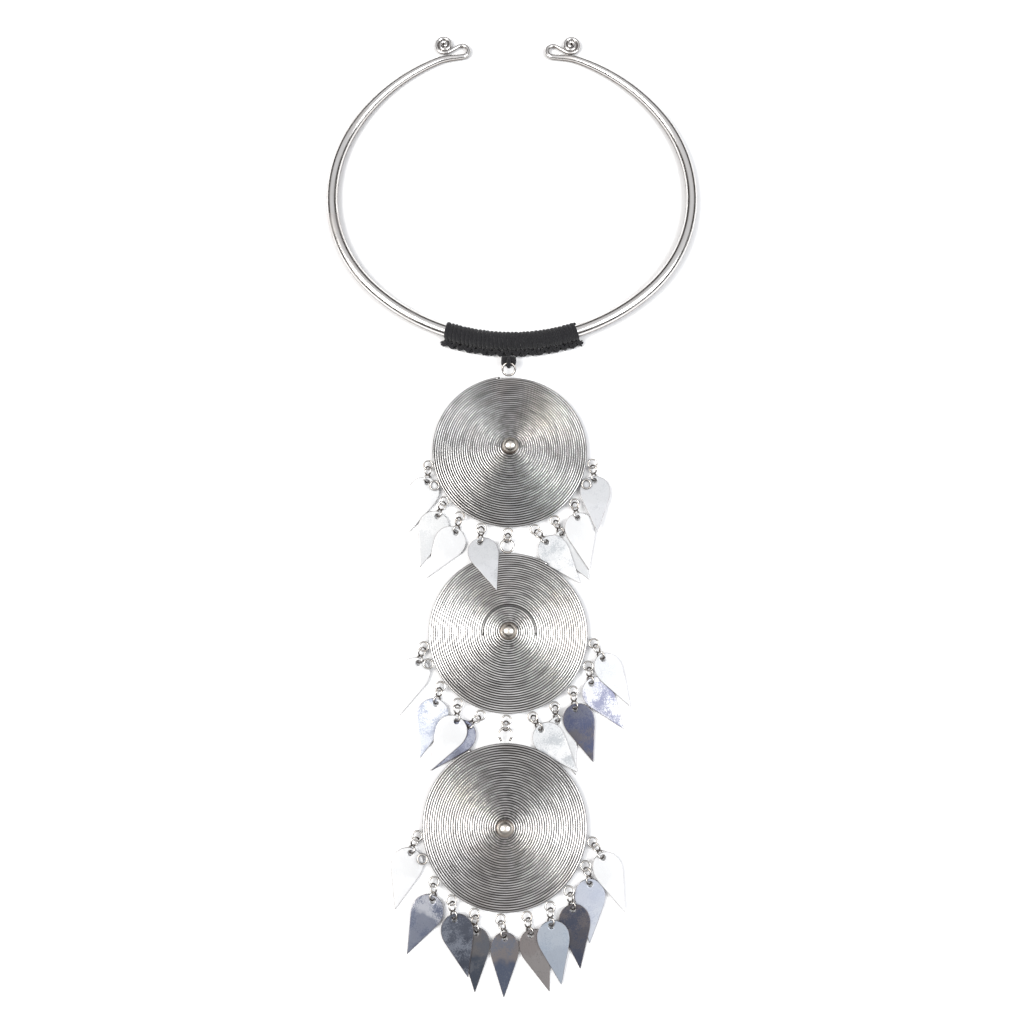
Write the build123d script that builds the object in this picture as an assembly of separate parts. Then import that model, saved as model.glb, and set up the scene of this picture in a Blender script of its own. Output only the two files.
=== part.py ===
from build123d import *
import math
import os
from collections import namedtuple

os.makedirs("parts", exist_ok=True)

# A torc: an open oval neck ring, with three coiled wire discs hanging from its front in a row,
# each with leaf pendants round its lower rim. It lies on its back on the plane z = 0.
# +Y runs from the pendants to the ring's mouth, and the origin is the centre of the neck opening.
# Every angle round a disc is counted from straight down (-Y), positive towards +X.

# Neck ring
opening_width = 131.8  # across the neck, between the wire's inner sides
opening_front = 56.1  # from the centre to the wire's inner side at the front
opening_back_left = 61.6  # the same towards the back, where each half would meet the middle
opening_back_right = 60.6
front_wire = 4.5  # wire diameter at the front
side_wire = 4.2
shoulder_wire = 3.9
back_wire = 2.7
hairpin_wire = 1.9
spiral_wire = 1.3
side_bend_share = 0.89  # the side arcs' radius as a share of the oval's depth
mouth_slope_left = 25.0  # slope of the oval where the wire begins to straighten
mouth_slope_right = 22.0
ease_turn = 18.0  # how far the wire straightens before its hairpin
ease_radius = 18.0
hairpin_run = 5.0  # straight wire before the hairpin
hairpin_radius = 2.45
hairpin_dip = 32.0  # how steeply the returning wire dips to its spiral
return_run = 4.4
spiral_radius = 3.2
spiral_gap = 0.15
spiral_half_turns = 4

# Cord wrap on the front of the ring
wrap_length = 48.4
wrap_cord = 1.15  # the cord's thickness on the wire
cord_gap = 0.1
winding_count = 33
winding_groove = 0.3
ridge_reach = 4.05  # from the wire's centre out to the ridge of knots
ridge_knot = 3.1  # knot diameter
ridge_core = 2.4
ridge_knots = 14
wrap_lift = 0.1  # play under the wrap and its ridge, for the ring's tilt
tied_end = 2.6

# Knot under the wrap
knot_width = 5.4
knot_length = 2.55
knot_height = 4.6
knot_ear = 2.1
loop_cord = 1.5
loop_radius = 1.3

# Coiled discs
disc_diameter = 56.6
disc_height = 7.4  # from the rim's middle to the cone's tip
coil_turns = 32
coil_start = 2.4  # the innermost turn's radius, under the bead
groove_depth = 0.26
disc_back = 0.55  # from the line through the turns down to the back
bead_diameter = 6.0
bead_rise = 0.6  # bead centre above the cone's tip
top_disc_drop = 99.7  # from the neck opening's centre to the top disc's centre
middle_disc_drop = 165.3
bottom_disc_drop = 230.7
top_disc_shift = -0.6  # sideways, as the chain lies
middle_disc_shift = -1.1
bottom_disc_shift = -2.2
bail_radius = 2.3
bail_wire = 0.75
pear_lean = 30.0  # how far the pear-shaped bail's legs lean in
pear_leg = 1.2
joint_slack = 0.3  # play of the jump rings between discs

# Rim rings and links
link_wire = 0.56
rim_ring_radius = 1.6
upper_eye = 1.5
lower_eye = 1.35
joint_ring = 1.6  # the jump rings between discs
eye_roll = 45.0  # how far an eye is turned up from lying flat
waist_share = 0.56  # radius of the soldered waist of a link, as a share of its wire
seat = 0.15  # how deep a soldered ring sits in the rim
rim_lift = 1.0  # how far leaves under the rim hold the discs above their links' height

# Leaves
leaf_length = 21.0
leaf_width = 10.9
leaf_sheet = 0.4
leaf_shoulder = 9.0  # radius below the widest point
leaf_hole = 2.0
leaf_hole_drop = 1.75  # from the top edge to the hole's centre
link_sag = 0.12  # how far a link's end hangs below the middle of its leaf's hole
leaf_gap = 0.18  # air between sheets that lie on each other

# A leaf hangs on its link's lower eye, which stands on the surface.
hang_height = lower_eye * math.sin(math.radians(eye_roll)) + link_wire / 2 + link_sag
rest_height = upper_eye * math.sin(math.radians(eye_roll)) + link_wire / 2 + rim_lift
coil_wire = (disc_diameter / 2 - coil_start) / coil_turns

Disc = namedtuple("Disc", "name shift drop bail_turn bail_rise pear")
DISCS = [
    Disc("top", top_disc_shift, top_disc_drop, 1, 30, False),
    Disc("middle", middle_disc_shift, middle_disc_drop, 1, 0, False),
    Disc("bottom", bottom_disc_shift, bottom_disc_drop, 0, 0, True),
]

# One row for each rim ring that carries a leaf: the ring's angle, the link's heading and reach
# in plan, and the leaf's heading. The layer is the order in which leaves lie on each other, the
# roll lifts one side of the leaf, and the width is a share of the full width. The lie is the
# side that the link's upper eye is turned to.
Pendant = namedtuple("Pendant", "rim link reach heading layer roll width lie over_disc", defaults=[False])
PENDANTS = {
    "top": [
        Pendant(-80, -3, 6.15, -19, 0, 0, 1.02, 1),
        Pendant(-52, -25, 5.9, -18, 1, -2, 1.0, -1),
        Pendant(-37, -13, 6.0, -32, 2, -3, 1.02, 1),
        Pendant(-20, -6, 5.3, 18, 1, -6, 1.0, -1, True),
        Pendant(17, 42, 6.15, 39, 1, 3, 1.0, 1),
        Pendant(32, 28, 5.7, 31, 0, 0, 0.97, -1),
        Pendant(50, 12, 5.3, 12, 2, -2, 1.0, 1),
        Pendant(81, 7, 6.15, 2, 3, 0, 1.0, 1),
    ],
    "middle": [
        Pendant(-81, -19, 6.0, -19, 0, 0, 1.0, -1),
        Pendant(-52, -15, 6.15, -16, 0, 0, 1.0, 1),
        Pendant(-36, -3, 6.15, -28, 1, -2, 1.0, -1),
        Pendant(-19, -48.3, 6.0, -40, 0, 3, 1.0, -1),
        Pendant(16, 33, 5.3, 41, 1, 3, 1.0, -1),
        Pendant(32, 11, 5.15, 19, 0, 0, 0.97, -1),
        Pendant(48, 6, 6.15, 19, 1, -2, 1.0, -1),
        Pendant(67.5, 9, 6.15, 36, 0, -3, 1.0, -1),
        Pendant(83, 30, 6.1, 30, 1, -2, 0.88, -1),
    ],
    "bottom": [
        Pendant(-84, -22, 6.15, -15, 0, 0, 1.0, -1),
        Pendant(-53, -4, 6.15, -26, 0, 0, 1.0, 1),
        Pendant(-37, 10, 6.15, 14, 1, 2, 1.0, -1),
        Pendant(-20, 4.5, 6.15, -1, 0, 0, 0.87, -1),
        Pendant(-3, 13.5, 6.15, -1, 0, 0, 0.87, 1),
        Pendant(14, 11.5, 6.15, 19, 0, 0, 0.92, -1),
        Pendant(30, 3, 6.15, 10, 2, 0, 1.0, -1),
        Pendant(45.5, 12, 6.15, 7, 1, 0, 0.97, -1),
        Pendant(64.5, 14, 6.15, -1, 0, 0, 0.95, 1),
        Pendant(80, 34, 6.1, 22, 1, -2, 0.9, 1),
    ],
}

# Rim rings without a leaf: the bare ones on the upper sides, and the lowest, which carries
# the next disc
JOINT_RING_ANGLE = -1.5
BARE_RINGS = {"top": [-65, 66, JOINT_RING_ANGLE], "middle": [-69, JOINT_RING_ANGLE], "bottom": [-69]}

SETTLE_STEPS = 42  # how finely a leaf is felt for what lies under it, along and to each side
SETTLE_SIDE_STEPS = 8
BALANCE_SHARE = 0.41  # where a leaf balances, as a share of its length


def plan_vector(degrees, length=1.0):
    """A vector in plan, at an angle counted from straight down."""
    angle = math.radians(degrees)
    return Vector(length * math.sin(angle), -length * math.cos(angle), 0)


def disc_centre(disc):
    return Vector(disc.shift, -disc.drop, rest_height)


def rim_ring_centre(disc, degrees):
    out = disc_diameter / 2 + rim_ring_radius + link_wire / 2 - seat
    return disc_centre(disc) + plan_vector(degrees, out)


# Neck ring


def tapered(path, first, last):
    """Wire along one edge, its diameter running from first to last."""
    ends = [
        Face(Wire(Edge.make_circle(size / 2, Plane(origin=path @ share, z_dir=path % share))))
        for share, size in ((0, first), (1, last))
    ]
    return sweep(ends, path=path, multisection=True)


class Trail:
    """A wire bent step by step in plan; a positive turn goes left."""

    def __init__(self, start, heading, size):
        self.point = start
        self.heading = heading
        self.size = size
        self.pieces = []

    def bend(self, radius, turn, size=None):
        left = math.copysign(90, turn)
        centre = self.point + Vector(radius, 0).rotate(Axis.Z, self.heading + left)
        arc = CenterArc(centre, radius, self.heading - left, turn)
        self.point = centre + Vector(radius, 0).rotate(Axis.Z, self.heading - left + turn)
        self.heading += turn
        self.lay(arc, size)

    def run(self, length, size=None):
        end = self.point + Vector(length, 0).rotate(Axis.Z, self.heading)
        line = Line(self.point, end)
        self.point = end
        self.lay(line, size)

    def lay(self, path, size):
        size = size or self.size
        self.pieces.append(tapered(path, self.size, size))
        self.size = size


def oval_arc(half_width, depth):
    """One quarter of the oval: its side arc's radius, its end arc's radius and that arc's turn."""
    side = side_bend_share * depth
    end = ((half_width - side) ** 2 + depth**2 - side**2) / (2 * (depth - side))
    return side, end, math.degrees(math.atan2(half_width - side, end - depth))


def half_ring(opening_back, mouth_slope):
    """The half towards +X, from the middle of the front to the heart of its spiral."""
    half_width = opening_width / 2 + side_wire / 2
    front = opening_front + front_wire / 2
    side, end, turn = oval_arc(half_width, front)
    trail = Trail(Vector(0, -front), 0, front_wire)
    trail.bend(end, turn)
    trail.bend(side, 90 - turn, side_wire)
    side, end, turn = oval_arc(half_width, opening_back + back_wire / 2)
    trail.bend(side, 90 - turn, shoulder_wire)
    trail.bend(end, turn - mouth_slope, back_wire)
    trail.bend(ease_radius, ease_turn, (back_wire + hairpin_wire) / 2)
    trail.run(hairpin_run, hairpin_wire)
    trail.bend(hairpin_radius, -(180 - mouth_slope + ease_turn + hairpin_dip), spiral_wire)
    trail.run(return_run)
    spiral_step = (spiral_wire + spiral_gap) / 2
    for half_turn in range(spiral_half_turns):
        trail.bend(spiral_radius - half_turn * spiral_step, 180)
    heart = Pos(trail.point) * Sphere(spiral_wire / 2)
    return trail.pieces + [heart]


def ring_tilt():
    """The wrap props up the front, and the ring drops back until its shoulders rest."""
    half_width = opening_width / 2 + side_wire / 2
    front = opening_front + front_wire / 2
    depth = min(opening_back_left, opening_back_right) + back_wire / 2
    side, end, turn = oval_arc(half_width, depth)
    shoulder = side * math.cos(math.radians(turn))
    return math.degrees(math.atan((wrap_height - shoulder_wire / 2) / (front + shoulder)))


wrap_radius = front_wire / 2 + wrap_cord
wrap_height = wrap_radius + wrap_lift
front_depth = opening_front + front_wire / 2
ring_place = Pos(0, -front_depth, wrap_height) * Rot(X=-ring_tilt()) * Pos(0, front_depth, 0)


def neck_ring():
    right = half_ring(opening_back_right, mouth_slope_right)
    left = [mirror(piece, about=Plane.YZ) for piece in half_ring(opening_back_left, mouth_slope_left)]
    return ring_place * (right[0].fuse(*right[1:], *left))


# Cord wrap


def front_planes(count, length):
    """Planes square to the wire, spaced evenly along the front, in the ring's own plane."""
    radius = oval_arc(opening_width / 2 + side_wire / 2, front_depth)[1]
    spread = math.degrees(length / radius)
    planes = []
    for n in range(count):
        angle = -spread / 2 + spread * (n + 0.5) / count
        place = Pos(0, radius - front_depth, 0) * Rot(Z=angle) * Pos(0, -radius, 0) * Rot(Y=90)
        planes.append(Plane(place.position, x_dir=(0, 0, -1), z_dir=place.z_axis.direction))
    return radius, spread, planes


def around_front(section_radius, offset, spread, radius, drop=0.0):
    """A round bar beside the wire, bent with it."""
    path = CenterArc((0, radius - front_depth, drop), radius + offset, -90 - spread / 2, spread)
    section = Face(Wire(Edge.make_circle(section_radius, Plane(origin=path @ 0, z_dir=path % 0))))
    return sweep(section, path=path)


def outward(plane, radius, height):
    """A point of the ridge at one of the front planes, on the side away from the neck."""
    spoke = (plane.origin - Vector(0, radius - front_depth, 0)).normalized()
    return plane.origin + spoke * ridge_reach + Vector(0, 0, height)


def cord_sleeve():
    """The windings side by side round the wire."""
    radius, spread, planes = front_planes(winding_count, wrap_length)
    sleeve = around_front(wrap_radius, 0, spread, radius)
    grooves = []
    for first, second in zip(planes, planes[1:]):
        middle = (first.origin + second.origin) * 0.5
        between = Plane(middle, z_dir=(first.z_dir + second.z_dir).normalized())
        grooves.append(between * Torus(wrap_radius + winding_groove / 3, winding_groove))
    bore = around_front(front_wire / 2 + cord_gap, 0, spread * 1.1, radius)
    return sleeve - grooves - bore


def cord_ridge():
    """The ridge of knots along the lower side, with a tied end sticking out at each corner."""
    radius, spread, planes = front_planes(ridge_knots, wrap_length - ridge_knot)
    height = ridge_knot / 2 - wrap_radius + wrap_lift / 2
    core = around_front(ridge_core / 2, ridge_reach, spread, radius, height)
    knots = [Pos(outward(plane, radius, height)) * Sphere(ridge_knot / 2) for plane in planes]
    height = tied_end / 2 - wrap_radius + wrap_lift
    ends = front_planes(2, 2 * wrap_length)[2]  # the middles of two lengths are the wrap's ends
    knots += [Pos(outward(plane, radius, height)) * Sphere(tied_end / 2) for plane in ends]
    return core.fuse(*knots)


# Coiled discs


def cone_height(radius):
    """Height of the line through the turns, above the rim's middle."""
    rim = disc_diameter / 2 - coil_wire / 2
    return disc_height * (rim - radius) / rim


def coil_cone():
    """The wound cone: one scallop for each turn above, smooth solder behind."""
    outer = disc_diameter / 2
    radii = [outer - turn * coil_wire for turn in range(1, coil_turns + 1)]
    grooves = [(radius, cone_height(radius)) for radius in radii]
    foot = (outer - coil_wire / 2, -coil_wire / 2)
    edges = [ThreePointArc(foot, (outer, 0), grooves[0])]
    for (r0, z0), (r1, z1) in zip(grooves, grooves[1:]):
        crest = ((r0 + r1) / 2, (z0 + z1) / 2 + groove_depth)
        edges.append(ThreePointArc((r0, z0), crest, (r1, z1)))
    tip = (0, grooves[-1][1])
    back_tip = (0, cone_height(0) - disc_back)
    edges += [Line(grooves[-1], tip), Line(tip, back_tip), Line(back_tip, foot)]
    return revolve(Plane.XZ * make_face(edges), Axis.Z)


def bail_reach(disc):
    """Distance from the rim's edge to the centre of the bail."""
    lean = math.radians(pear_lean)
    if disc.pear:
        return bail_radius * math.sin(lean) + pear_leg * math.cos(lean)
    return bail_radius + bail_wire / 2 - seat


def bail_place(disc):
    """Where the bail's centre is, and which way its plane is raised and turned."""
    raised = Rot(X=disc.bail_rise) * Pos(0, bail_reach(disc), 0)
    return Rot(Z=disc.bail_turn) * Pos(0, disc_diameter / 2, 0) * raised


def bail_head(disc):
    """The middle of the bail's wire at its far end."""
    return (Pos(disc_centre(disc)) * bail_place(disc) * Pos(0, bail_radius, 0)).position


def bail(disc):
    """The ring at the disc's head, flat or raised, round or pear-shaped towards the rim."""
    if not disc.pear:
        return bail_place(disc) * Torus(bail_radius, bail_wire / 2)
    arc = CenterArc((0, 0), bail_radius, -pear_lean, 180 + 2 * pear_lean)
    right = Line(arc @ 0, arc @ 0 - (arc % 0) * pear_leg)
    left = Line(arc @ 1, arc @ 1 + (arc % 1) * pear_leg)
    wires = [tapered(edge, bail_wire, bail_wire) for edge in (arc, right, left)]
    return bail_place(disc) * wires[0].fuse(*wires[1:])


def coiled_disc(disc):
    centre = disc_centre(disc)
    rings = []
    for angle in [row.rim for row in PENDANTS[disc.name]] + BARE_RINGS[disc.name]:
        # Each ring's own joint faces outwards, away from the solder on the rim.
        place = Pos(rim_ring_centre(disc, angle) - centre) * Rot(Z=angle - 90)
        rings.append(place * Torus(rim_ring_radius, link_wire / 2))
    bead = Pos(0, 0, disc_height + bead_rise) * Sphere(bead_diameter / 2)
    return Pos(centre) * coil_cone().fuse(bead, bail(disc), *rings)


# Links


def eye(near, radius, roll):
    """A round eye along +X from near, rolled about X from lying flat, its joint at one side."""
    place = Rot(X=roll) * Pos(near + radius, 0, 0) * Rot(Z=90)
    return place * Torus(radius, link_wire / 2)


def figure_eight(lie):
    """A link along +X, its two eyes rolled to either side of lying flat and soldered at the waist."""
    upper = eye(0, upper_eye, lie * eye_roll)
    lower = eye(2 * upper_eye, lower_eye, -lie * eye_roll)
    waist = Pos(2 * upper_eye, 0, 0) * Sphere(link_wire * waist_share)
    return upper.fuse(lower, waist)


def pointing(start, end):
    """The place at start whose X runs towards end and whose Y is level."""
    axis = (end - start).normalized()
    level = Vector(0, 0, 1).cross(axis)
    return Plane(start, x_dir=axis, z_dir=axis.cross(level))


def hung_link(disc, row, hole):
    """One link: its upper eye in the rim ring, its lower eye in the leaf's hole."""
    ring = rim_ring_centre(disc, row.rim)
    end = hole - Vector(0, 0, link_sag)
    length = 2 * (upper_eye + lower_eye)
    hook = row.reach - math.sqrt(length**2 - (end.Z - ring.Z) ** 2)
    start = ring + plan_vector(row.link, hook)
    return pointing(start, end) * figure_eight(row.lie)


# Leaves


def shoulder_turn():
    """Half the angle of the leaf's point, where the straight sides leave the shoulders."""
    inset = leaf_shoulder - leaf_width / 2
    drop = leaf_length - leaf_width / 2
    return math.degrees(math.asin(leaf_shoulder / math.hypot(inset, drop)) - math.atan2(inset, drop))


def leaf_half_width(along, width):
    """Half the leaf's width at a distance from its top edge."""
    half = leaf_width / 2
    inset = leaf_shoulder - half
    below = along - half
    turn = math.radians(shoulder_turn())
    if below < 0:
        reach = math.sqrt(max(half**2 - below**2, 0))
    elif below < leaf_shoulder * math.sin(turn):
        reach = math.sqrt(leaf_shoulder**2 - below**2) - inset
    else:
        reach = (leaf_length - along) * math.tan(turn)
    return max(reach, 0) * width


def leaf_blank(width):
    """The flat leaf in its own plane, hole at the origin, point towards -Y."""
    half = leaf_width / 2
    turn = math.radians(shoulder_turn())
    inset = leaf_shoulder - half
    foot = (leaf_shoulder * math.cos(turn) - inset, -leaf_shoulder * math.sin(turn))
    middle = (leaf_shoulder * math.cos(turn / 2) - inset, -leaf_shoulder * math.sin(turn / 2))
    tip = (0, half - leaf_length)
    side = [ThreePointArc((0, half), (half * math.sqrt(0.5), half * math.sqrt(0.5)), (half, 0)),
            ThreePointArc((half, 0), middle, foot), Line(foot, tip)]
    outline = side + [mirror(edge, about=Plane.YZ) for edge in side]
    face = scale(make_face(outline), by=(width, 1, 1))
    face = Pos(0, leaf_hole_drop - half, 0) * face
    sheet = extrude(face, leaf_sheet / 2, both=True)
    return sheet - Cylinder(leaf_hole / 2, 2 * leaf_sheet)


class Leaf:
    """A leaf where it lies: its hole, its heading in plan, its pitch and its roll."""

    def __init__(self, disc, row):
        self.row = row
        ring = rim_ring_centre(disc, row.rim)
        self.hole = ring + plan_vector(row.link, row.reach) + Vector(0, 0, hang_height - ring.Z)
        self.roll = math.tan(math.radians(row.roll))
        self.pitch = 0.0

    def samples(self):
        """Points of the leaf in plan: distance past the hole, distance to the side, place."""
        forward = plan_vector(self.row.heading)
        sideways = plan_vector(self.row.heading + 90)
        for step in range(SETTLE_STEPS + 1):
            along = leaf_length * step / SETTLE_STEPS
            half = leaf_half_width(along, self.row.width)
            for side_step in range(-SETTLE_SIDE_STEPS, SETTLE_SIDE_STEPS + 1):
                past, aside = along - leaf_hole_drop, half * side_step / SETTLE_SIDE_STEPS
                yield past, aside, self.hole + forward * past + sideways * aside

    def top_at(self, place):
        """Height of the leaf's upper face over a place in plan, or None beside the leaf."""
        offset = place - self.hole
        past = offset.dot(plan_vector(self.row.heading))
        aside = offset.dot(plan_vector(self.row.heading + 90))
        if abs(aside) >= leaf_half_width(past + leaf_hole_drop, self.row.width):
            return None
        return self.hole.Z + self.pitch * past + self.roll * aside + leaf_sheet / 2

    def settle(self, under):
        """Let the leaf down until it lies on two supports, one each side of its balance point."""
        needs = {0.0: self.hole.Z}
        for past, aside, place in self.samples():
            tops = [top + leaf_gap for top in (thing(place) for thing in under) if top is not None]
            need = max([0.0] + tops) + leaf_sheet / 2 - self.roll * aside
            needs[past] = max(needs.get(past, need), need)
        balance = leaf_length * BALANCE_SHARE - leaf_hole_drop
        height, self.pitch = max(
            (z0 + (z1 - z0) * (balance - s0) / (s1 - s0), (z1 - z0) / (s1 - s0))
            for s0, z0 in needs.items()
            for s1, z1 in needs.items()
            if s0 < balance < s1
        )
        self.hole = Vector(self.hole.X, self.hole.Y, height - self.pitch * balance)

    def solid(self):
        forward = plan_vector(self.row.heading) + Vector(0, 0, self.pitch)
        sideways = plan_vector(self.row.heading + 90) + Vector(0, 0, self.roll)
        normal = sideways.cross(forward * -1)
        return Plane(self.hole, x_dir=sideways, z_dir=normal) * leaf_blank(self.row.width)


def cone_under(disc):
    """Height of a disc's turns over a place in plan."""
    centre = disc_centre(disc)

    def top(place):
        radius = math.hypot(place.X - centre.X, place.Y - centre.Y)
        if radius > disc_diameter / 2:
            return None
        return centre.Z + max(cone_height(radius) + groove_depth, coil_wire / 2)

    return top


def settled_leaves(disc, below):
    """The disc's leaves, lowest layer first, each laid on those before it."""
    rows = PENDANTS[disc.name]
    leaves = [Leaf(disc, row) for row in rows]
    placed = []
    for leaf in sorted(leaves, key=lambda leaf: leaf.row.layer):
        under = [other.top_at for other in placed]
        if below and leaf.row.over_disc:
            under.append(cone_under(below))
        leaf.settle(under)
        placed.append(leaf)
    return leaves


def connector(disc, below):
    """The jump ring between a disc's lowest ring and the next disc's bail."""
    ring = rim_ring_centre(disc, JOINT_RING_ANGLE)
    head = bail_head(below)
    axis = (head - ring).normalized()
    back = 2 * joint_ring - bail_wire / 2 - link_wire / 2 - joint_slack
    return pointing(head - axis * back, head) * eye(0, joint_ring, eye_roll)


# Knot under the wrap


def cord_knot():
    """The knot that ties the top disc's bail to the wrap: a loop, a body and two side bights."""
    head = bail_head(DISCS[0])
    loop = Pos(head) * Rot(Y=90) * Torus(loop_radius, loop_cord / 2)
    middle = head + Vector(0, bail_wire / 2 + cord_gap + knot_length / 2)
    middle.Z = knot_height / 2 + wrap_lift
    body = Pos(middle) * scale(Sphere(0.5), by=(knot_width, knot_length, knot_height))
    ears = [Pos(middle + Vector(side * knot_ear, 0, 0)) * Sphere(knot_ear / 2) for side in (-1, 1)]
    return body.fuse(loop, *ears)


parts = {
    "neck_ring": neck_ring(),
    "cord_wrap": ring_place * cord_sleeve().fuse(cord_ridge()),
    "cord_knot": cord_knot(),
}
for n, disc in enumerate(DISCS):
    below = DISCS[n + 1] if n + 1 < len(DISCS) else None
    leaves = settled_leaves(disc, below)
    parts[f"disc_{disc.name}"] = coiled_disc(disc)
    parts[f"links_{disc.name}"] = Compound([hung_link(disc, leaf.row, leaf.hole) for leaf in leaves])
    for number, leaf in enumerate(leaves, 1):
        parts[f"leaf_{disc.name}_{number}"] = leaf.solid()
    if below:
        parts[f"connector_{disc.name}"] = connector(disc, below)

for name, solid in parts.items():
    box = solid.bounding_box()
    print(f"{name:18s} {len(solid.solids()):3d} {solid.volume:9.1f}  z {box.min.Z:6.2f} {box.max.Z:6.2f}")
    export_step(solid, f"parts/{name}.step")
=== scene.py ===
import math
from collections import namedtuple

import bmesh
import bpy
from mathutils import Euler, Matrix, Vector, noise


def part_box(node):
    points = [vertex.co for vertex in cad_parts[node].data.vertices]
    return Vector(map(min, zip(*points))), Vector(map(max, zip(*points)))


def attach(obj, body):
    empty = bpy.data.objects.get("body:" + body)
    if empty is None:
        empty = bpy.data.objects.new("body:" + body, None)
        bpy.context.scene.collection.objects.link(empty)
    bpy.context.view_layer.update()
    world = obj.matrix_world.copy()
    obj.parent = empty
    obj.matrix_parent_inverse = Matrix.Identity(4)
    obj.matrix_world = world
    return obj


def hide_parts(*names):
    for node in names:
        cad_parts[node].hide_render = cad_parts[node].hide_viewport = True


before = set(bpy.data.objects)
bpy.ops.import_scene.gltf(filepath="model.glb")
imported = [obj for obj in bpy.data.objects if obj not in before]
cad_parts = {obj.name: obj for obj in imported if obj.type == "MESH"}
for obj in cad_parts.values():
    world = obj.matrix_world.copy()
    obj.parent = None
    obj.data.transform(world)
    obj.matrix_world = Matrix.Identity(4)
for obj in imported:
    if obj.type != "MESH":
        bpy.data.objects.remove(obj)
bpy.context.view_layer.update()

# Shapes are worked in millimetres in the part's frame: the torc lies on its back on z = 0, +Y runs
# to the ring's mouth, and the origin is the centre of the neck opening. Angles round a disc are
# counted from straight down, positive towards +X.
MM = 0.001

# Neck ring
opening_half_width = 65.9  # from the centre to the wire's inner side
opening_front = 56.1
opening_back_left = 61.6  # where each half would meet the middle
opening_back_right = 60.6
front_wire = 4.5  # the wire's diameter, from the front to the ends
side_wire = 4.2
shoulder_wire = 3.9
back_wire = 2.7
hairpin_wire = 1.9
spiral_wire = 1.3
side_bend_share = 0.89  # the side arcs' radius as a share of the oval's depth
mouth_slope_left = 25.0  # slope of the oval where the wire begins to straighten
mouth_slope_right = 22.0
ease_turn = 18.0  # how far the wire straightens before its hairpin
ease_radius = 18.0
hairpin_run = 5.0  # straight wire before the hairpin
hairpin_radius = 2.45
hairpin_dip = 32.0  # how steeply the returning wire dips to its spiral
return_run = 4.4
spiral_radius = 3.2
spiral_step = 0.725  # how much smaller each half turn is than the one before
spiral_half_turns = 4
filed_lifts = (30, 60, 80)  # the steps in which the wire's end is filed round
ring_height = 3.5  # of the wire's middle, at the front
ring_tilt = 0.994  # down towards the mouth

# Cord wrap
wrap_length = 48.4  # of the ridge and its strands
windings_length = 50.2
wrap_cord = 1.15
winding_doublings = 5  # 32 turns
winding_press = 1.02  # how wide a winding is pressed, as a share of their pitch
winding_stray = 0.22  # how far one strays along the wire, as a share of the pitch
winding_stray_rate = 0.55  # how quickly that changes from winding to winding
winding_swell = 0.05  # how far its loop is larger or smaller, as a share
winding_swell_rate = 0.9
ridge_reach = 4.05  # from the wire's middle out to the ridge
ridge_depth = 3.1
ridge_hitches = 17
hitch_radius = 0.78
hitch_cord = 1.1
hitch_lean = 38.0
hitch_step = 0.2  # how far each of a hitch's two loops lies off the ridge's middle line
hitch_stretch = 1.15
strand_cord = 1.0  # the two strands that run along the ridge
strand_radius = 0.35
strand_doublings = 3
strand_step = 0.6
strand_drop = 0.1

# The wrap's tied ends: the side, the number of threads and how wide they spread
TUFTS = ((-1, 7, 110), (1, 9, 130))
tuft_radius = 0.55
tuft_cord = 0.95
inner_radius = 0.5
inner_cord = 0.8
inner_cross = 35.0
inner_slope = 70.0
tuft_height = 1.3
tuft_inset = 0.1  # from the ridge's end
tuft_lean = 62.0
thread_length = 1.15
thread_play = 0.35
thread_rise = 28.0
thread_foot = 0.46  # radii of a thread at its foot and its tip
thread_tip = 0.27

# Knot under the wrap
knot_height = 4.6
knot_drop = 1.9  # from the knot's top end to its middle
knot_strands = 5
knot_pitch = 0.98
knot_radius = 1.1
knot_cord = 1.35
knot_width = 3.6  # of a strand's loop before it is stretched to the knot's height
knot_lean = 7.0  # how far its strands cross
knot_narrowing = 0.11  # how much shorter a strand is than its inner neighbour, as a share
knot_stretch = 1.15
ear_turn = 50.0
ear_reach = 1.7
ear_rise = 0.75
ear_radius = 0.6
ear_cord = 1.2
ear_slope = 70.0
BANDS = ((0.75, 1.75), (-0.45, 1.5))  # across the knot: a band's place along it, and its stretch
band_height = 0.7
band_radius = 1.1
band_cord = 0.95
loop_radius = 1.3
loop_cord = 1.5

# Coiled discs
disc_radius = 28.3
disc_height = 7.4
coil_doublings = 5
coil_turns = 2**coil_doublings
coil_start = 2.4
coil_segments = 112  # a turn
coil_bite = 0.52  # the wire's radius as a share of the turns' pitch, so that they are joined
coil_sway = 0.10  # how far single turns stand up or lie low
coil_sway_rate = 0.31  # how quickly that changes from turn to turn
coil_dent = 0.0875  # how far a cone is dented, as a share of its level, less towards its middle
coil_dent_rate = 0.02  # how quickly that changes, a millimetre
coil_dulling = 0.25  # how dull a crest is, and how far patches of it differ from that
coil_dull_patches = 0.6
coil_patch_rate = 0.16  # how quickly they change, a millimetre
coil_patch_turn = 1.7  # and from turn to turn
sunk_reach = 0.55  # how far from its radius a turn still counts as sunk, as a share of the pitch
sunk_dip = 0.3  # how far a sunk turn lies below its neighbours
bead_radius = 3.0
bead_rise = 0.6
bail_radius = 2.3
bail_wire = 0.75
pear_lean = 30.0  # how far the pear-shaped bail's legs lean in
pear_leg = 1.2

# Links and rim rings
link_wire = 0.56
rim_ring_radius = 1.6
upper_eye = 1.5
lower_eye = 1.35
joint_ring = 1.6  # the jump rings between discs
joint_slack = 0.3
eye_roll = 45.0  # how far an eye is turned up from lying flat
whipping_wire = 0.27
whipping_radius = 0.27
whipping_step = 0.24
whipping_taper = 0.03
seat = 0.15  # how deep a soldered ring sits in the rim
link_sag = 0.12  # how far a link's end hangs below the middle of its leaf's hole
disc_rest = 2.34  # height of the rims' middle

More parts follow.
